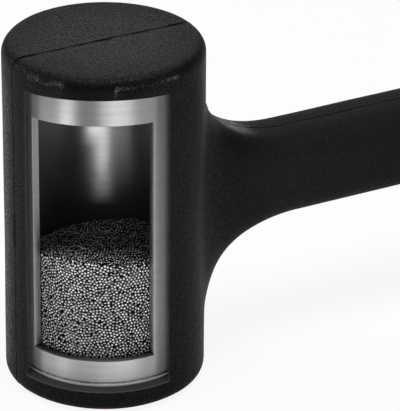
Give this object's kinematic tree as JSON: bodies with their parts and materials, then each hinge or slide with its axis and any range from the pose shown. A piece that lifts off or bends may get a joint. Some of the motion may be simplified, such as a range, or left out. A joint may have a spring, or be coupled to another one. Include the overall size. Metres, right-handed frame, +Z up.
{
  "type": "dead blow hammer",
  "caption": "Cutaway dead blow hammer: urethane head and handle cast over a steel canister, with windows that show the loose shot which slides inside to damp rebound.",
  "frame": {"origin": "centre of the lower striking face", "axes": "+Z up along the head from the lower to the upper striking face, +X along the handle towards the butt"},
  "size_m": [0.3556, 0.0634, 0.1143],
  "materials": {
    "urethane": "black cast urethane with a fine moulded grain",
    "canister_steel": "drawn steel tube with a fine brushing round it",
    "plug_steel": "turned steel",
    "weld_steel": "weld bead, dull",
    "core_steel": "plain bar steel",
    "shot_steel": "loose round steel shot"
  },
  "bodies": {
    "hammer": {"urethane_jacket": "urethane", "canister_tube": "canister_steel", "upper_end_plug": "plug_steel", "lower_end_plug": "plug_steel", "upper_plug_weld": "weld_steel", "lower_plug_weld": "weld_steel", "handle_socket": "core_steel", "socket_weld": "weld_steel", "handle_rod": "core_steel", "rod_pin": "core_steel", "anchor_washer": "core_steel"},
    "shot": {"shot_charge": "shot_steel"}
  },
  "joints": [
    {"name": "shot_slide", "type": "slide", "parent": "hammer", "child": "shot", "axis": [0, 0, 1], "range_m": [0, 0.049]}
  ]
}
